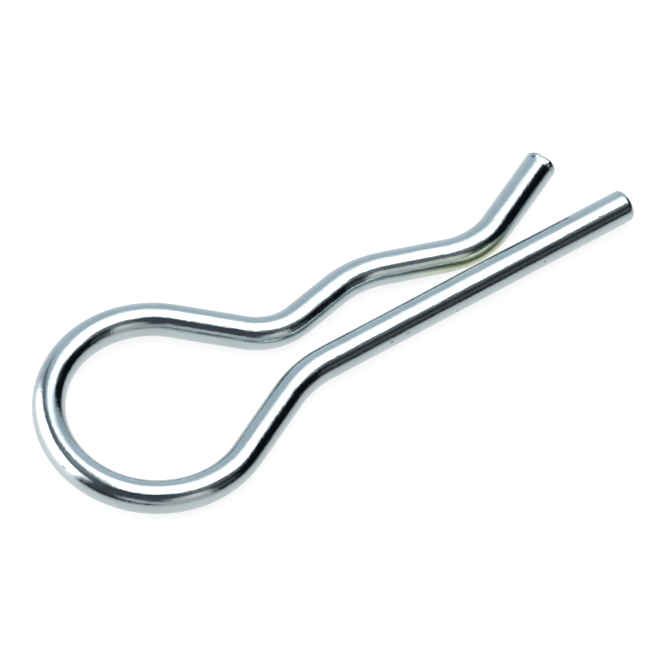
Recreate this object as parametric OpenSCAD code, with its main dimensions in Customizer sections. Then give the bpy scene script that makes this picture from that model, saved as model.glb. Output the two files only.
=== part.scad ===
// Hitch pin clip of R shape, bent from one length of round spring wire and lying flat.
// The straight leg runs along X and the wavy leg lies on its +Y side.
// A drilled shaft sits in the seat under the crest, with the straight leg through its cross hole.

/* [Wire] */
// Diameter of the wire
wire_d = 4; // [3.5:0.1:4.5]
// How much the wire thins where bending has stretched it
bend_thinning = 0.02; // [0.01:0.01:0.1]
// Rounding of the rim at the straight leg's cut end
leg_rim_r = 0.6; // [0.2:0.05:1.2]
// Rounding of the rim at the wavy leg's cut end
tail_rim_r = 0.35; // [0.1:0.05:1.2]

/* [Straight leg and heel] */
// Length of the straight leg, from the heel bend to its cut end
leg_len = 43.2; // [35:0.1:60]
// Bend radius of the heel, to the middle of the wire
heel_r = 14.5; // [13:0.1:16]
// Turn of the heel bend away from the wavy leg, in degrees
heel_turn = 26.5; // [23:0.5:28]
// Straight run from the heel bend to the loop
heel_run = 9.5; // [8:0.1:11]

/* [Loop] */
// Radius of the loop, to the middle of the wire
loop_r = 12.4; // [11.5:0.1:14]
// Slope at which the wire leaves the loop for the neck, in degrees
neck_slope = 43; // [38:0.5:45]

/* [Wavy leg] */
// Clear gap between the legs at the neck
neck_gap = 2.7; // [1.5:0.1:3]
// Bend radius of the neck, to the middle of the wire
neck_r = 7.4; // [6:0.1:8.5]
// Slope from the neck up to the crest, in degrees
rise_slope = 11.5; // [9:0.5:13]
// Clear height of the shaft's seat, from the straight leg to the crest
seat_gap = 4.3; // [4.1:0.1:5.5]
// Bend radius of the crest, to the middle of the wire
crest_r = 13; // [11:0.1:14]
// Slope from the crest down to the throat, in degrees
fall_slope = 18.5; // [16:0.5:20]
// Clear gap between the legs at the throat, which the shaft springs open
throat_gap = 0.6; // [0.3:0.1:1.5]
// Bend radius of the throat, to the middle of the wire
throat_r = 10; // [8:0.1:11]
// Slope of the lifted tail, in degrees
tail_slope = 25.5; // [20:0.5:35]
// Length of the straight tail, from the throat bend to its cut end
tail_run = 10.8; // [6:0.1:16]

/* [Hidden] */
// Facets round the wire and round a full turn of a bend
WIRE_FACETS = 48;
BEND_FACETS = 72;
// Length by which a straight run's full section reaches into a bend
LAP = 0.1;

// Straight run that joins two opposite bends, down a slope and over a given drop between their peaks
function run_between(drop, bend_radii, slope) = (drop - bend_radii * (1 - cos(slope))) / sin(slope);

// Diameter of the wire in its bends
bend_d = wire_d - bend_thinning;

// Middle of the wire above the straight leg's own middle line
neck_y = wire_d + neck_gap;
crest_y = wire_d + seat_gap;
throat_y = wire_d + throat_gap;

// Loop centre, from the heel bend's start
heel_end_x = -heel_r * sin(heel_turn);
heel_end_y = heel_r * (cos(heel_turn) - 1);
loop_x = heel_end_x - heel_run * cos(heel_turn) - loop_r * sin(heel_turn);
loop_y = heel_end_y - heel_run * sin(heel_turn) + loop_r * cos(heel_turn);
loop_turn = 180 + heel_turn + neck_slope;

// Straight runs of the wavy leg, which bring each bend to its gap over the straight leg
neck_run = run_between(loop_y + loop_r - neck_y, loop_r + neck_r, neck_slope);
crest_run = run_between(crest_y - neck_y, neck_r + crest_r, rise_slope);
throat_run = run_between(crest_y - throat_y, crest_r + throat_r, fall_slope);

// Middle of the outline in X and Y, which becomes the origin
low_x = loop_x - loop_r - bend_d / 2;
high_x = leg_len;
middle_x = (low_x + high_x) / 2;
middle_y = loop_y;

// Straight run along +X with what follows at its end. It laps over the bends that it meets, but not over a cut end.
module run(length, lap_before = LAP, lap_after = LAP) {
    translate([-lap_before, 0, 0])
        rotate([0, 90, 0])
            cylinder(d = wire_d, h = lap_before + length + lap_after, $fn = WIRE_FACETS);
    translate([length, 0, 0])
        children();
}

// Bend to the left for a positive turn and to the right for a negative one, with what follows at its end
module bend(radius, turn) {
    centre_y = sign(turn) * radius;
    translate([0, centre_y, 0]) {
        rotate([0, 0, turn > 0 ? -90 : 90 + turn])
            rotate_extrude(angle = abs(turn), $fn = BEND_FACETS)
                translate([radius, 0])
                    circle(d = bend_d, $fn = WIRE_FACETS);
        rotate([0, 0, turn])
            translate([0, -centre_y, 0])
                children();
    }
}

// Cut end of the wire, with a rounded rim, that faces -X and carries what follows
module cut_end(rim_r) {
    rotate([0, 90, 0])
        rotate_extrude($fn = WIRE_FACETS)
            intersection() {
                union() {
                    translate([wire_d / 2 - rim_r, rim_r])
                        circle(r = rim_r, $fn = WIRE_FACETS);
                    square([wire_d / 2 - rim_r, rim_r]);
                }
                square([wire_d / 2, rim_r]);
            }
    translate([rim_r, 0, 0])
        children();
}

// The whole wire in path order, from the straight leg's tip round to the tail
module wire_path() {
    cut_end(leg_rim_r)
        run(leg_len - leg_rim_r, lap_before = 0)
            bend(heel_r, heel_turn)
                run(heel_run)
                    bend(loop_r, -loop_turn)
                        run(neck_run)
                            bend(neck_r, neck_slope + rise_slope)
                                run(crest_run)
                                    bend(crest_r, -rise_slope - fall_slope)
                                        run(throat_run)
                                            bend(throat_r, fall_slope + tail_slope)
                                                run(tail_run - tail_rim_r, lap_after = 0)
                                                    translate([tail_rim_r, 0, 0])
                                                        rotate([0, 0, 180])
                                                            cut_end(tail_rim_r);
}

module clip() {
    color([0.75, 0.78, 0.80])
        translate([leg_len - middle_x, -middle_y, wire_d / 2])
            rotate([0, 0, 180])
                wire_path();
}

clip();
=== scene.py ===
"""Hitch R clip pin: one length of bright plated wire, bent in one plane and lying on a pale floor.

Lengths of the wire are in millimetres, as in the CAD source, and become metres where the mesh is
made. The straight leg lies along X, and the path's own origin is where the heel bend starts.
"""

import math

import bpy
import numpy as np
from mathutils import Matrix, Vector


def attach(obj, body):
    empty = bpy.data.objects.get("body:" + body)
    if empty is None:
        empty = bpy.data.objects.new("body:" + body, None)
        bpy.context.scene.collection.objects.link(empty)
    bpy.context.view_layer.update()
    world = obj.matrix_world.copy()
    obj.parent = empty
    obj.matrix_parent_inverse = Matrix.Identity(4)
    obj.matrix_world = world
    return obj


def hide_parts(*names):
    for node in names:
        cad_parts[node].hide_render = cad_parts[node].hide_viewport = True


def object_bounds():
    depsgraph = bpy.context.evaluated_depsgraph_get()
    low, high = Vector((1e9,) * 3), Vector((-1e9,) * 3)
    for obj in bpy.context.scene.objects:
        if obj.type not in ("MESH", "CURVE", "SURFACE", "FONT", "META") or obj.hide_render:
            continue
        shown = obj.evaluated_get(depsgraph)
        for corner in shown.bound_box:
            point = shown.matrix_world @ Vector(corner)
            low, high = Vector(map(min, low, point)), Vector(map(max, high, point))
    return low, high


MM = 0.001

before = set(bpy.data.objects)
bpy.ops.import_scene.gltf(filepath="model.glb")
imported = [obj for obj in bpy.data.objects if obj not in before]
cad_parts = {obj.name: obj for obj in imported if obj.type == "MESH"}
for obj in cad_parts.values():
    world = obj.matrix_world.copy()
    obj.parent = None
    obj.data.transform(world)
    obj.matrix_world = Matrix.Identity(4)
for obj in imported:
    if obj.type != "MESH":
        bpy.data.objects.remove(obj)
cad_low, cad_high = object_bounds()

# The bent wire, in millimetres and degrees
WIRE_R = 2.0
BEND_R = 1.987  # the wire is a little thinner where bending has stretched it
BEND_BLEND = 1.2  # length over which the section changes
LEG_RIM_R = 0.6
TAIL_RIM_R = 0.35
LEG_LEN = 43.2
HEEL_R, HEEL_TURN, HEEL_RUN = 14.5, 26.5, 9.5
LOOP_R, NECK_SLOPE = 12.4, 43.0
NECK_GAP, NECK_R, RISE_SLOPE = 2.7, 7.4, 11.5
SEAT_GAP, CREST_R, FALL_SLOPE = 4.3, 13.0, 18.5
THROAT_GAP, THROAT_R = 0.6, 10.0
TAIL_SLOPE, TAIL_RUN = 25.5, 10.8

# The flat that the cutter pressed on the tail's end, so that the wire bulges beside it
PRESS_ANGLE = 98.0  # the flat's middle, as an angle round the wire
PRESS_START, PRESS_FULL = 1.15, 0.50  # distances from the cut end between which it widens
PRESS_LEFT, PRESS_RIGHT = 25.0, -23.0  # where it ends, as angles from its middle
PRESS_FADE = 80.0  # angle over which each bulge sinks back into the round wire
PRESS_TOP = 0.999  # the flat's greatest height over the wire's middle, as a share of the radius

# The torn rim of the tail's cut end
TEAR_START, TEAR_FULL = 0.5, 0.1  # distances from the cut end between which it grows
TEAR_INNER, TEAR_OUTER = 0.55, 0.9  # radii between which it grows, as shares of the wire's
TEAR_DEPTH = 0.025  # mean depth along the wire
TEAR_DEEPER = 0.045  # what that depth gains in the middle of the flat
TEAR_INWARD = 0.5  # depth towards the wire's middle, as a share of the depth along it
# Its waves: how many go round the wire, how high they are, and their phase in radians
TEAR_WAVES = ((2, 0.5, 7.4), (5, 0.7, 17.6), (9, 0.8, 31.2), (14, 0.9, 48.2), (23, 0.6, 78.8))

# The wire's rings
AROUND = 96  # vertices in a ring
RING_STEP = 0.3  # greatest distance between rings along the wire
TAIL_FINE, FINE_STEP = 1.7, 0.06  # length of the tail's end that has closer rings, and their step
RIM_STEPS = 10  # rings over a rounded rim
RIM_GAP = 0.1  # least distance between the leg's rim and the next ring
FACE_RINGS = (0.02, 0.15, 0.3, 0.45, 0.6)  # rings on a cut face, as shares of the wire's radius
OUTER_RINGS = (0.9, 1.0)  # more rings there, as shares of the radius inside the rim
FACE_RING_GAP = 0.05  # least distance between the rings of the two kinds

# What is marked on the wire for its material
LEG_CUT_FADE, TAIL_CUT_FADE = 0.3, 0.21  # lengths over which the look of a cut face fades
SHEARED_FULL, SHEARED_END = 0.15, 0.5  # distances from the tail's end between which shearing fades
# The throat's yellowish film, whose lighter colour is also a painted reflection of the straight
# leg's highlight:
YELLOWING_AND_REFLECTION_FACING = (0.55, 0.95)  # how squarely the film's thin and full parts face the straight leg
YELLOWING_AND_REFLECTION_START = (-8.0, 3.0)  # where the film starts and is full, from the start of the throat bend
YELLOWING_AND_REFLECTION_END = (-2.5, 0.8)  # where it starts to fade and ends, from the end of the throat bend

# Small marks on the plating: distance along the wire from the straight leg's tip, angle round it
# in degrees, half length and half width. The angle is 0 on the left of one who follows the wire
# from that tip, and 90 on top.
MARKS = (
    (4.60, 67.0, 0.16, 0.09),
    (13.3, 13.0, 0.20, 0.08),
    (25.9, 357.0, 0.14, 0.12),
    (32.9, 17.0, 0.30, 0.07),
    (35.2, 15.0, 0.25, 0.10),
    (43.1, 38.0, 0.18, 0.08),
    (82.9, 32.0, 0.42, 0.10),
    (130.4, 150.0, 0.15, 0.12),
    (167.85, 67.0, 0.14, 0.24),
    (167.84, 108.0, 0.11, 0.12),
    (167.90, 117.0, 0.07, 0.32),
    (167.82, 126.0, 0.13, 0.13),
)
MARK_EDGE = (0.2, 1.3)  # squared distances at which a mark fades; 1 is its half length or width
MARK_DEPTH = 0.012
PIT_SCALE = 420.0  # cells per metre, of which some hold a pit
PIT_EDGE = (0.02, 0.06)  # distances at which a pit fades, as shares of a cell
PIT_NONE = 0.80  # share of the cells without a pit

# Colours of the plating
ZINC_TONES = (0.415, 0.472, 0.486, 1), (0.446, 0.506, 0.52, 1)
# The film's yellowish tint, lighter than the zinc as a painted reflection of the straight leg's
# highlight
YELLOWING_AND_REFLECTION_TONES = (0.60, 0.62, 0.42, 1), (0.48, 0.52, 0.34, 1)
MARK_COLOUR = (0.045, 0.045, 0.05, 1)
CUT_COLOUR = (0.33, 0.34, 0.35, 1)
YELLOWING_AND_REFLECTION_COVER, MARK_COVER, PIT_COVER = 0.9, 0.92, 0.6  # how far each hides what is under it

# Roughness of the plating, from its brightest to its dullest patches, and what is added to it
PLATING_ROUGHNESS = (0.07, 0.115)
CUT_ROUGHER, FILM_ROUGHER, MARK_ROUGHER = 0.3, 0.12, 0.25

# Patches of noise: scale per metre, detail, and the levels between which they turn from 0 to 1
ZINC_PATCHES = (260.0, 3.0, 0.35, 0.65)
YELLOWING_AND_REFLECTION_PATCHES = (420.0, 2.0, 0.3, 0.7)
DULL_PATCHES = (900.0, 3.0, 0.3, 0.7)
CHIP_PATCHES = (3400.0, 1.0, 0.52, 0.62)

# Relief of the plating: how far it is stretched along the wire, or None for even relief, then the
# noise's scale per metre, detail and roughness, and the height in millimetres
RELIEF = (
    (None, 6500.0, 2.0, 0.6, 0.0090),  # grain
    (None, 3300.0, 1.0, 0.5, 0.0080),  # coarser grain
    (16.0, 3600.0, 2.0, 0.6, 0.0115),  # draw lines
    (None, 1300.0, 2.0, 0.5, 0.011),  # unevenness
    (None, 300.0, 1.0, 0.5, 0.020),  # slight waviness
)
CUT_RELIEF = (1900.0, 3.0, 0.7, 0.05)  # shear marks across the cut faces

# The photograph's view: how far the sight line leans from the vertical, the turn from the camera's
# right hand to +X as seen from above, and how far the picture is turned
LEAN = math.radians(34.154)
AWAY_TURN = math.radians(38.675)
PICTURE_TURN = math.radians(-5.727)
DISTANCE = 0.85  # from the camera to the target
PIXELS_PER_METRE = 8500.0  # at that distance
PICTURE = 665  # pixels along each side
SENSOR = 36.0  # the sensor's width in millimetres
CLIP_START, CLIP_END = 0.01, 50.0
TARGET = Vector((-1.208, -1.730, 2.0)) * MM
TARGET_PIXEL = (330.0, 330.0)  # where the target shows in the picture

# Level directions to the camera's right and away from it, and the one overhead
right_hand = Vector((math.cos(AWAY_TURN), -math.sin(AWAY_TURN), 0))
away = Vector((math.sin(AWAY_TURN), math.cos(AWAY_TURN), 0))
overhead = Vector((0, 0, 1))

# The softboxes. The reach of a panel is low and high across, then low and high up, in metres from
# its middle. Each edge is a line across it: its direction across and up, its distance from the
# middle, and the width over which the glow fades.
SOFTBOX_RADIANCE = 3.05
SOFTBOX_POINTS = 36  # along each side of a panel
SIDE_DISTANCE = 0.9  # to the camera's left
SIDE_REACH = (-1.0, 0.95, 0.0, 1.35)
SIDE_EDGES = (
    (-1.0, -0.1, 0.575, 0.26),
    (1.0, -0.06, 0.572, 0.26),
    (0.10, 1.0, 0.945, 0.12),
    (0.80, 0.60, 0.97, 0.14),
)
TOP_HEIGHT = 1.2  # over the floor
TOP_REACH = (-0.6, 1.1, -0.5, 1.55)
TOP_EDGES = (  # distances and widths as shares of the height
    (-1.0, 0.0, 0.255, 0.22),
    (1.0, 0.0, 0.92, 0.24),
    (0.0, -1.0, 0.265, 0.08),
    (0.0, 1.0, 0.74, 0.75),
    (0.80, 0.60, 0.81, 0.16),
    (0.60, -0.80, 0.384, 0.10),
)

# The floor, which is white to the camera and in the wire, and keeps the wire's shadow
FLOOR_HALF = 8.0  # half its side, in metres
FLOOR_COLOUR = (0.26, 0.26, 0.26, 1)
FLOOR_GLOW = 0.88
FLOOR_IOR = 1.5
FLOOR_ROUGHNESS = 0.25

# The studio: dim walls and ceiling, and patches over them. Each patch is a range of azimuth, where
# 0 is away from the camera and 90 to its right, a range of elevation, the halves of the widths over
# which these ends fade, all in degrees, and a colour. A later patch covers an earlier one.
DIM_WALLS = (0.09, 0.10, 0.117, 1)
PATCHES = (
    # Ceiling at the right front
    ((95, 142), (42, 66), (5, 5), (0.19, 0.20, 0.22)),
    ((108, 138), (50, 62), (5, 4), (0.31, 0.33, 0.35)),
    # Ceiling over the side softbox
    ((-128, -40), (46, 72), (8, 4), (0.147, 0.168, 0.189)),
    ((-108, -62), (51, 62), (8, 4), (0.26, 0.29, 0.30)),
    ((-100, -50), (61, 72), (8, 4), (0.40, 0.47, 0.53)),
    # Pale wall at the left front, and the dark corner under it
    ((-190, -161), (9, 28), (5, 5), (0.735, 0.819, 0.861)),
    ((-174, -124), (-20, 10), (4, 3), (0.006, 0.008, 0.014)),
    # Haze round the side softbox
    ((-126, -47), (-20, 44), (3, 5), (0.473, 0.567, 0.693)),
    ((-130, -120), (16, 43), (3, 4), (0.43, 0.52, 0.63)),
    # Paper behind, its lit foot and its darker edges
    ((-50, 40), (-20, 72), (4, 8), (0.735, 0.851, 0.945)),
    ((-38, 30), (-20, 7), (6, 5), (0.98, 1.10, 1.21)),
    ((-54, -37), (18, 60), (5, 8), (0.20, 0.24, 0.28)),
    ((-54, -32), (53, 70), (4, 5), (0.19, 0.23, 0.27)),
    ((26, 44), (-20, 34), (5, 6), (0.53, 0.63, 0.71)),
    # Dark wall at the right
    ((40, 126), (-20, 43), (3, 5), (0.007, 0.009, 0.013)),
    ((64, 80), (30, 46), (3, 4), (0.009, 0.011, 0.015)),
    # Ceiling over it
    ((42, 56), (43, 50), (4, 4), (0.55, 0.61, 0.65)),
    ((82, 101), (43, 54), (4, 4), (0.42, 0.46, 0.49)),
    # Its dim end
    ((107, 127), (11, 29), (3, 3), (0.115, 0.128, 0.134)),
    ((107, 127), (29, 41), (3, 3), (0.04, 0.046, 0.052)),
    # Light wall in front
    ((128, 174), (-20, 22), (3, 6), (0.672, 0.693, 0.683)),
    ((129, 150), (20, 41), (4, 5), (1.10, 1.09, 1.03)),
    ((148, 162), (21, 39), (5, 5), (0.80, 0.86, 0.90)),
    ((168, 190), (-20, 20), (5, 7), (0.693, 0.756, 0.788)),
    ((-190, -174), (-20, 20), (4, 7), (0.693, 0.756, 0.788)),
    # Dark gap under it
    ((171, 190), (-20, 8), (4, 2), (0.006, 0.008, 0.012)),
    ((-190, -174), (-20, 8), (4, 2), (0.006, 0.008, 0.012)),
)


def run_between(drop, bend_radii, slope):
    """Length of the straight run between two opposite bends, down a slope and over a drop."""
    a = math.radians(slope)
    return (drop - bend_radii * (1 - math.cos(a))) / math.sin(a)


def wire_parts():
    """Name, length and turn of each part, from the straight leg's tip to the tail's cut end.

    A turn is in radians, positive to the left and 0 in a straight run.
    """
    heel = math.radians(HEEL_TURN)
    loop_y = HEEL_R * (math.cos(heel) - 1) - HEEL_RUN * math.sin(heel) + LOOP_R * math.cos(heel)
    wire_d = 2 * WIRE_R
    neck_y, crest_y, throat_y = wire_d + NECK_GAP, wire_d + SEAT_GAP, wire_d + THROAT_GAP

    def run(name, length):
        return name, length, 0.0

    def bend(name, radius, turn):
        return name, radius * math.radians(abs(turn)), math.radians(turn)

    return (
        run("leg", LEG_LEN),
        bend("heel", HEEL_R, HEEL_TURN),
        run("heel_run", HEEL_RUN),
        bend("loop", LOOP_R, -(180 + HEEL_TURN + NECK_SLOPE)),
        run("neck_run", run_between(loop_y + LOOP_R - neck_y, LOOP_R + NECK_R, NECK_SLOPE)),
        bend("neck", NECK_R, NECK_SLOPE + RISE_SLOPE),
        run("crest_run", run_between(crest_y - neck_y, NECK_R + CREST_R, RISE_SLOPE)),
        bend("crest", CREST_R, -(RISE_SLOPE + FALL_SLOPE)),
        run("throat_run", run_between(crest_y - throat_y, CREST_R + THROAT_R, FALL_SLOPE)),
        bend("throat", THROAT_R, FALL_SLOPE + TAIL_SLOPE),
        run("tail", TAIL_RUN),
    )


def wire_path():
    """The middle line in millimetres: its points, headings and distances, and each part's span."""
    x, y, heading = LEG_LEN, 0.0, math.pi
    points, headings, distances, names = [], [], [], []
    spans = {}
    travelled = 0.0
    for name, length, turn in wire_parts():
        spans[name] = (travelled, travelled + length)
        steps = max(2, math.ceil(length / RING_STEP))
        for i in range(1 if points else 0, steps + 1):
            s = length * i / steps
            if turn:
                radius = length / turn
                h = heading + s / radius
                px = x + radius * (math.sin(h) - math.sin(heading))
                py = y - radius * (math.cos(h) - math.cos(heading))
            else:
                h = heading
                px, py = x + s * math.cos(h), y + s * math.sin(h)
            points.append((px, py))
            headings.append(h)
            distances.append(travelled + s)
            names.append(name)
        x, y = points[-1]
        heading = headings[-1]
        travelled += length
    points = np.array(points)
    # The CAD box gives the place: its face at +X is the leg's tip, and its middle in Y is the
    # loop's middle.
    loop_y = points[np.array(names) == "loop", 1]
    shift = np.array([
        cad_high[0] / MM - LEG_LEN,
        (cad_low[1] + cad_high[1]) / 2 / MM - (loop_y.max() + loop_y.min()) / 2,
    ])
    return points + shift, np.array(headings), np.array(distances), spans


def smooth(start, end, value):
    """A soft step from 0 at start to 1 at end, level beyond them. Either may be the lower."""
    t = np.clip((value - start) / (end - start), 0, 1)
    return t * t * (3 - 2 * t)


def cap_profile(rim_r):
    """Distance from the cut end and radius of each ring of an end, from its middle outwards."""
    inside = WIRE_R - rim_r
    nearest = WIRE_R * FACE_RINGS[-1] + FACE_RING_GAP
    rings = [(0.0, WIRE_R * share) for share in FACE_RINGS]
    rings += [(0.0, inside * share) for share in OUTER_RINGS if inside * share > nearest]
    for i in range(1, RIM_STEPS + 1):
        a = math.radians(90 * i / RIM_STEPS)
        rings.append((rim_r * (1 - math.cos(a)), inside + rim_r * math.sin(a)))
    return rings


def wire_rings(distances):
    """Distance along the wire and radius of each ring, or None where its section gives it."""
    total = distances[-1]
    fine_start, fine_end = total - TAIL_FINE, total - TAIL_RIM_R - FINE_STEP / 2
    rings = cap_profile(LEG_RIM_R)
    rings += [(s, None) for s in distances if LEG_RIM_R + RIM_GAP < s < fine_start]
    rings += [(s, None) for s in np.arange(fine_start, fine_end, FINE_STEP)]
    rings += [(total - to_end, radius) for to_end, radius in reversed(cap_profile(TAIL_RIM_R))]
    return rings


def section_radius(s, spans):
    """Radius of the wire at a distance along it, a little less inside a bend."""
    inside = 0.0
    for name in ("heel", "loop", "neck", "crest", "throat"):
        start, end = spans[name]
        up = smooth(start - BEND_BLEND / 2, start + BEND_BLEND / 2, s)
        down = smooth(end - BEND_BLEND / 2, end + BEND_BLEND / 2, s)
        inside = max(inside, up - down)
    return WIRE_R + (BEND_R - WIRE_R) * inside


def torn_height(angles):
    """Unevenness of the torn rim round the wire, in -1 to 1."""
    total = np.zeros_like(angles)
    for count, height, phase in TEAR_WAVES:
        total += height * np.sin(count * angles + phase)
    return total / sum(height for _, height, _ in TEAR_WAVES)


def pressed_radius(angle):
    """Radius of the pressed tail at an angle in degrees, as a share of the round wire's."""
    turn = (angle - PRESS_ANGLE + 180) % 360 - 180
    edge = min(PRESS_LEFT, max(PRESS_RIGHT, turn))
    on_flat = 1 / math.cos(math.radians(edge))
    at_top = PRESS_TOP / math.sin(math.radians(PRESS_ANGLE + edge))
    return 1 + (min(on_flat, at_top) - 1) * (1 - smooth(0.0, PRESS_FADE, abs(turn - edge)))


def wire_vertices(points, headings, distances, spans):
    """Vertices of the rings and then of the two cut faces' middles, in metres.

    After them come each one's distance along the wire and angle round it.
    """
    total = distances[-1]
    angles = np.linspace(0, 2 * math.pi, AROUND, endpoint=False)
    tears = torn_height(angles)
    shapes = [pressed_radius(math.degrees(a)) for a in angles]
    vertices, along, around = [], [], []

    def add(s, angle, place_s, radius):
        x = np.interp(place_s, distances, points[:, 0])
        y = np.interp(place_s, distances, points[:, 1])
        h = np.interp(place_s, distances, headings)
        side, up = radius * math.cos(angle), radius * math.sin(angle)
        vertices.append(((x - math.sin(h) * side) * MM, (y + math.cos(h) * side) * MM,
                         (WIRE_R + up) * MM))
        along.append(s)
        around.append(angle)

    for s, radius in wire_rings(distances):
        r = section_radius(s, spans) if radius is None else radius
        pressed = smooth(PRESS_START, PRESS_FULL, total - s)
        torn = smooth(TEAR_START, TEAR_FULL, total - s)
        torn *= smooth(TEAR_INNER, TEAR_OUTER, r / WIRE_R)
        for a, tear, shape in zip(angles, tears, shapes):
            on_flat = max(0.0, math.cos(a - math.radians(PRESS_ANGLE)))
            depth = (TEAR_DEPTH + TEAR_DEEPER * on_flat ** 2) * torn
            torn_r = r - TEAR_INWARD * depth * max(0.0, tear)
            add(s, a, s - depth * (1 + tear), torn_r * (1 + pressed * (shape - 1)))
    for s in (0.0, total):
        add(s, 0.0, s, 0.0)
    return np.array(vertices), np.array(along), np.array(around)


def wire_faces(ring_count):
    """Quads between the rings, and a fan of triangles round each cut face's middle."""
    faces = []
    for i in range(ring_count - 1):
        low, high = i * AROUND, (i + 1) * AROUND
        for j in range(AROUND):
            k = (j + 1) % AROUND
            faces.append((low + j, low + k, high + k, high + j))
    last = (ring_count - 1) * AROUND
    leg_middle, tail_middle = last + AROUND, last + AROUND + 1
    for j in range(AROUND):
        k = (j + 1) % AROUND
        faces.append((leg_middle, k, j))
        faces.append((tail_middle, last + j, last + k))
    return faces


def map_wire(mesh, along, around):
    """UV map with metres along the wire and turns round it, in one piece inside each face."""
    corner_vertex = np.zeros(len(mesh.loops), int)
    mesh.loops.foreach_get("vertex_index", corner_vertex)
    u = along[corner_vertex] * MM
    v = around[corner_vertex] / (2 * math.pi)
    for polygon in mesh.polygons:
        corners = v[polygon.loop_start:polygon.loop_start + polygon.loop_total]
        if corners.max() - corners.min() > 0.5:
            corners[corners < 0.5] += 1.0
    uv = mesh.uv_layers.new(name="along_around")
    uv.data.foreach_set("uv", np.stack([u, v], 1).ravel())


def build_wire():
    """The wire as one closed mesh, with what its material needs to know of each point."""
    points, headings, distances, spans = wire_path()
    vertices, along, around = wire_vertices(points, headings, distances, spans)
    mesh = bpy.data.meshes.new("plated_wire")
    mesh.from_pydata([tuple(v) for v in vertices], [], wire_faces(len(vertices) // AROUND))
    mesh.update()
    for polygon in mesh.polygons:
        polygon.use_smooth = True
    map_wire(mesh, along, around)

    def attribute(name, values):
        layer = mesh.attributes.new(name, "FLOAT", "POINT")
        layer.data.foreach_set("value", values.astype(np.float32))

    # 1 on the cut faces, 0 on the drawn surface
    to_end = distances[-1] - along
    on_leg, on_tail = 1 - smooth(0.0, LEG_CUT_FADE, along), 1 - smooth(0.0, TAIL_CUT_FADE, to_end)
    attribute("cut_face", np.maximum(on_leg, on_tail))
    # 1 at the tail's sheared rim
    attribute("sheared", 1 - smooth(SHEARED_FULL, SHEARED_END, to_end))
    # Yellowish film where the throat nearly meets the straight leg, on the side that faces it; its
    # lighter colour there is a painted reflection of the straight leg's highlight
    throat_start, throat_end = spans["throat"]
    begun = smooth(throat_start + YELLOWING_AND_REFLECTION_START[0], throat_start + YELLOWING_AND_REFLECTION_START[1], along)
    ended = smooth(throat_end + YELLOWING_AND_REFLECTION_END[0], throat_end + YELLOWING_AND_REFLECTION_END[1], along)
    attribute("throat_yellowing_and_reflection", begun * (1 - ended) * smooth(*YELLOWING_AND_REFLECTION_FACING, -np.cos(around)))

    piece = bpy.data.objects.new("plated_wire", mesh)
    bpy.context.scene.collection.objects.link(piece)
    return piece


class Graph:
    """The node tree of a material or of the world, emptied, and short ways to fill it."""

    def __init__(self, owner):
        owner.use_nodes = True
        self.tree = owner.node_tree
        self.tree.nodes.clear()

    def put(self, node, socket, value):
        """Set an input, by name or number, to a value or to another node's output."""
        target = node.inputs[socket]
        if isinstance(value, bpy.types.NodeSocket):
            self.tree.links.new(value, target)
        else:
            target.default_value = value

    def add(self, kind, **inputs):
        """A new node. An input's name has _ for each space."""
        node = self.tree.nodes.new("ShaderNode" + kind)
        for name, value in inputs.items():
            self.put(node, name.replace("_", " "), value)
        return node

    def math(self, operation, *values):
        node = self.add("Math")
        node.operation = operation
        for i, value in enumerate(values):
            self.put(node, i, value)
        return node.outputs[0]

    def step(self, value, low, high, at_low=0.0, at_high=1.0):
        """A soft step between two values of the input."""
        node = self.add("MapRange", From_Min=low, From_Max=high, To_Min=at_low, To_Max=at_high)
        node.interpolation_type = "SMOOTHSTEP"
        self.put(node, "Value", value)
        return node.outputs["Result"]

    def mix(self, factor, a, b):
        """A mix of two colours."""
        node = self.add("Mix")
        node.data_type = "RGBA"
        for socket, value in ((0, factor), (6, a), (7, b)):  # the colour sockets are 6 and 7
            self.put(node, socket, value)
        return node.outputs[2]

    def shader_mix(self, factor, a, b):
        node = self.add("MixShader")
        for socket, value in enumerate((factor, a, b)):
            self.put(node, socket, value)
        return node.outputs[0]

    def noise(self, vector, scale, detail, roughness=0.5):
        node = self.add("TexNoise", Vector=vector, Scale=scale, Detail=detail, Roughness=roughness)
        return node.outputs["Fac"]

    def patches(self, vector, scale, detail, low, high, at_low=0.0, at_high=1.0):
        """Soft patches of noise."""
        return self.step(self.noise(vector, scale, detail), low, high, at_low, at_high)

    def attribute(self, name):
        node = self.add("Attribute")
        node.attribute_name = name
        return node.outputs["Fac"]


def wire_marks(g, place, along, side, up):
    """1 in a mark's, a pit's or a chip's middle and 0 outside them."""
    marks = 0.0
    for far, angle, half_length, half_width in MARKS:
        a = math.radians(angle)
        squares = []
        for value, middle, half in ((along, far, half_length),
                                    (side, WIRE_R * math.cos(a), half_width),
                                    (up, WIRE_R * math.sin(a), half_width)):
            share = g.math("DIVIDE", g.math("SUBTRACT", value, middle * MM), half * MM)
            squares.append(g.math("POWER", share, 2.0))
        square = g.math("ADD", g.math("ADD", squares[0], squares[1]), squares[2])
        marks = g.math("MAXIMUM", marks, g.step(square, *MARK_EDGE, 1.0, 0.0))
    # Sparse pits all over the wire
    cells = g.add("TexVoronoi", Vector=place, Scale=PIT_SCALE)
    chance = g.add("SeparateXYZ", Vector=cells.outputs["Color"]).outputs[0]
    pit = g.math("MULTIPLY", g.step(cells.outputs["Distance"], *PIT_EDGE, 1.0, 0.0),
                 g.math("GREATER_THAN", chance, PIT_NONE))
    marks = g.math("MAXIMUM", marks, g.math("MULTIPLY", pit, PIT_COVER))
    # Ragged chips on the sheared rim
    chips = g.patches(place, *CHIP_PATCHES)
    return g.math("MAXIMUM", marks, g.math("MULTIPLY", chips, g.attribute("sheared")))


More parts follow.
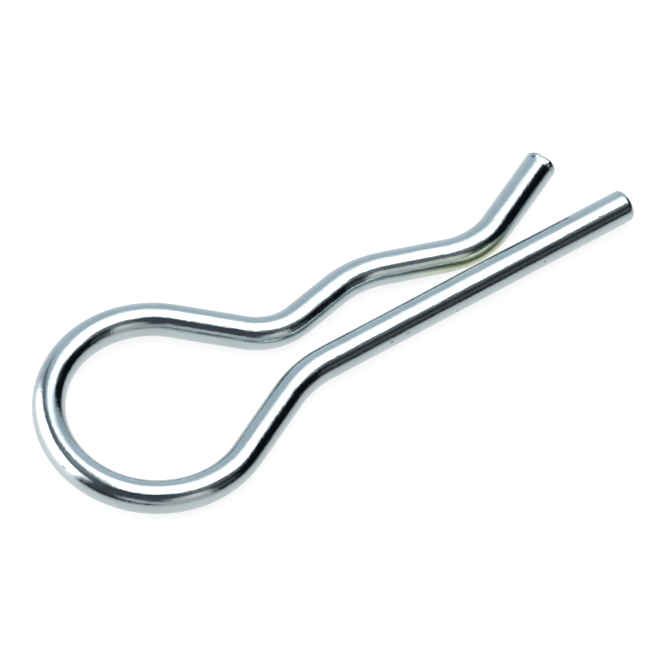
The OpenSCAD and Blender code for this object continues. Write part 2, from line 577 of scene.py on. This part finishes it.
def wire_material():
    """Bright zinc on drawn wire, with dull cut faces and a yellowish film at the throat, lightened
    there as a painted reflection of the straight leg.
    """
    material = bpy.data.materials.new("bright_zinc")
    g = Graph(material)
    place = g.add("TexCoord").outputs["Object"]
    yellowing_and_reflection = g.attribute("throat_yellowing_and_reflection")
    cut = g.attribute("cut_face")

    # The wire rolled straight, in metres: its length, and the place across it
    uv = g.add("UVMap")
    uv.uv_map = "along_around"
    split = g.add("SeparateXYZ", Vector=uv.outputs[0])
    along = split.outputs["X"]
    turn = g.math("MULTIPLY", split.outputs["Y"], 2 * math.pi)
    side = g.math("MULTIPLY", g.math("COSINE", turn), WIRE_R * MM)
    up = g.math("MULTIPLY", g.math("SINE", turn), WIRE_R * MM)
    marks = wire_marks(g, place, along, side, up)

    zinc = g.mix(g.patches(place, *ZINC_PATCHES), *ZINC_TONES)
    # Yellowish film tint, lighter than the zinc where it faces the straight leg: a painted
    # reflection of that leg's highlight
    yellowing_and_reflection_colour = g.mix(g.patches(place, *YELLOWING_AND_REFLECTION_PATCHES), *YELLOWING_AND_REFLECTION_TONES)
    colour = g.mix(g.math("MULTIPLY", yellowing_and_reflection, YELLOWING_AND_REFLECTION_COVER), zinc, yellowing_and_reflection_colour)
    colour = g.mix(g.math("MULTIPLY", marks, MARK_COVER), colour, MARK_COLOUR)
    colour = g.mix(cut, colour, CUT_COLOUR)

    rough = g.patches(place, *DULL_PATCHES, *PLATING_ROUGHNESS)
    for what, rougher in ((cut, CUT_ROUGHER), (yellowing_and_reflection, FILM_ROUGHER), (marks, MARK_ROUGHER)):
        rough = g.math("ADD", rough, g.math("MULTIPLY", what, rougher))

    heights = []
    for stretch, scale, detail, roughness, height in RELIEF:
        vector = place
        if stretch is not None:
            vector = g.add("CombineXYZ", X=side, Y=up,
                           Z=g.math("MULTIPLY", along, 1.0 / stretch)).outputs[0]
        noise = g.noise(vector, scale, detail, roughness)
        heights.append(g.math("MULTIPLY", noise, height * MM))
    heights.append(g.math("MULTIPLY", marks, -MARK_DEPTH * MM))
    scale, detail, roughness, height = CUT_RELIEF
    shear_marks = g.math("MULTIPLY", cut, g.noise(place, scale, detail, roughness))
    heights.append(g.math("MULTIPLY", shear_marks, height * MM))
    relief = heights[0]
    for height in heights[1:]:
        relief = g.math("ADD", relief, height)
    bump = g.add("Bump", Strength=1.0, Distance=1.0, Height=relief)

    shader = g.add("BsdfPrincipled", Base_Color=colour, Metallic=1.0, Roughness=rough,
                   Normal=bump.outputs[0])
    g.add("OutputMaterial", Surface=shader.outputs[0])
    return material


def make_camera():
    """The camera at the photograph's view, with no shift and no depth of field."""
    back = -math.sin(LEAN) * away + math.cos(LEAN) * overhead
    level_up = math.cos(LEAN) * away + math.sin(LEAN) * overhead
    picture_right = math.cos(PICTURE_TURN) * right_hand - math.sin(PICTURE_TURN) * level_up
    picture_up = math.sin(PICTURE_TURN) * right_hand + math.cos(PICTURE_TURN) * level_up
    place = TARGET + DISTANCE * back
    off_x = PICTURE / 2 - TARGET_PIXEL[0]
    off_y = PICTURE / 2 - TARGET_PIXEL[1]
    aim = TARGET + (off_x * picture_right - off_y * picture_up) / PIXELS_PER_METRE
    z_axis = (place - aim).normalized()
    x_axis = (picture_right - picture_right.dot(z_axis) * z_axis).normalized()
    y_axis = z_axis.cross(x_axis)
    data = bpy.data.cameras.new("camera")
    data.sensor_width = SENSOR
    data.lens = PIXELS_PER_METRE * DISTANCE * SENSOR / PICTURE
    data.clip_start = CLIP_START
    data.clip_end = CLIP_END
    camera = bpy.data.objects.new("camera", data)
    camera.matrix_world = Matrix((
        (x_axis.x, y_axis.x, z_axis.x, place.x),
        (x_axis.y, y_axis.y, z_axis.y, place.y),
        (x_axis.z, y_axis.z, z_axis.z, place.z),
        (0, 0, 0, 1),
    ))
    bpy.context.scene.collection.objects.link(camera)
    bpy.context.scene.camera = camera


def softbox(name, middle, across, up, reach, edges):
    """A flat glowing panel that fades at its edges. It faces the object and glows on that side."""
    low_x, high_x, low_y, high_y = reach
    points, glow = [], []
    for y in np.linspace(low_y, high_y, SOFTBOX_POINTS):
        for x in np.linspace(low_x, high_x, SOFTBOX_POINTS):
            points.append(tuple(middle + across * float(x) + up * float(y)))
            level = 1.0
            for edge_x, edge_y, limit, fade in edges:
                out = x * edge_x + y * edge_y
                level *= 1 - smooth(limit - fade / 2, limit + fade / 2, out)
            glow.append(level)
    faces = []
    for j in range(SOFTBOX_POINTS - 1):
        for i in range(SOFTBOX_POINTS - 1):
            a = j * SOFTBOX_POINTS + i
            faces.append((a, a + 1, a + SOFTBOX_POINTS + 1, a + SOFTBOX_POINTS))
    if across.cross(up).dot(middle) > 0:
        faces = [face[::-1] for face in faces]
    mesh = bpy.data.meshes.new(name)
    mesh.from_pydata(points, [], faces)
    mesh.attributes.new("glow", "FLOAT", "POINT").data.foreach_set("value", glow)

    material = bpy.data.materials.new(name)
    g = Graph(material)
    front = g.math("SUBTRACT", 1.0, g.add("NewGeometry").outputs["Backfacing"])
    panel = g.shader_mix(g.math("MULTIPLY", g.attribute("glow"), front),
                         g.add("BsdfTransparent").outputs[0],
                         g.add("Emission", Strength=SOFTBOX_RADIANCE).outputs[0])
    g.add("OutputMaterial", Surface=panel)
    mesh.materials.append(material)
    box = bpy.data.objects.new(name, mesh)
    box.visible_camera = False
    bpy.context.scene.collection.objects.link(box)


def make_softboxes():
    """The two panels that light the wire."""
    # Beside the object, from the floor up: across is away from the camera
    softbox("side_softbox", -SIDE_DISTANCE * right_hand, away, overhead, SIDE_REACH, SIDE_EDGES)
    # Over the object, a little behind it: across is to the camera's right
    edges = [(x, y, limit * TOP_HEIGHT, fade * TOP_HEIGHT) for x, y, limit, fade in TOP_EDGES]
    softbox("top_softbox", TOP_HEIGHT * overhead, right_hand, away, TOP_REACH, edges)


def make_floor():
    """The white table that the wire lies on."""
    mesh = bpy.data.meshes.new("floor")
    corners = ((-1, -1), (1, -1), (1, 1), (-1, 1))
    mesh.from_pydata([(x * FLOOR_HALF, y * FLOOR_HALF, 0) for x, y in corners], [], [(0, 1, 2, 3)])
    floor = bpy.data.objects.new("floor", mesh)
    bpy.context.scene.collection.objects.link(floor)
    material = bpy.data.materials.new("white_table")
    g = Graph(material)
    ray = g.add("LightPath").outputs
    seen = g.math("MAXIMUM", g.math("MAXIMUM", ray["Is Camera Ray"], ray["Is Glossy Ray"]),
                  ray["Is Transmission Ray"])
    glow = g.add("Emission", Strength=g.math("MULTIPLY", seen, FLOOR_GLOW))
    matt = g.add("AddShader")
    g.put(matt, 0, g.add("BsdfDiffuse", Color=FLOOR_COLOUR).outputs[0])
    g.put(matt, 1, glow.outputs[0])
    table = g.shader_mix(g.add("Fresnel", IOR=FLOOR_IOR).outputs[0], matt.outputs[0],
                         g.add("BsdfGlossy", Roughness=FLOOR_ROUGHNESS).outputs[0])
    g.add("OutputMaterial", Surface=table)
    mesh.materials.append(material)


def make_world():
    """A dim studio, as the wire mirrors it."""
    world = bpy.data.worlds.new("studio")
    bpy.context.scene.world = world
    g = Graph(world)
    look = g.add("TexCoord").outputs["Generated"]

    def along(axis):
        node = g.add("VectorMath")
        node.operation = "DOT_PRODUCT"
        g.put(node, 0, look)
        g.put(node, 1, tuple(axis))
        return node.outputs["Value"]

    def within(angle, ends, fade):
        low, high = ends
        rise = g.step(angle, math.radians(low - fade), math.radians(low + fade))
        fall = g.step(angle, math.radians(high - fade), math.radians(high + fade), 1.0, 0.0)
        return g.math("MULTIPLY", rise, fall)

    azimuth = g.math("ARCTAN2", along(right_hand), along(away))
    elevation = g.math("ARCSINE", along(overhead))
    colour = DIM_WALLS
    for azimuths, elevations, fades, tint in PATCHES:
        patch = g.math("MULTIPLY", within(azimuth, azimuths, fades[0]),
                       within(elevation, elevations, fades[1]))
        colour = g.mix(patch, colour, (*tint, 1))
    background = g.add("Background", Color=colour, Strength=1.0)
    g.add("OutputWorld", Surface=background.outputs[0])


wire = build_wire()
wire.data.materials.append(wire_material())
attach(wire, "root")
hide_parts("clip")

make_camera()
make_softboxes()
make_floor()
make_world()
bpy.context.scene.view_settings.view_transform = "Standard"
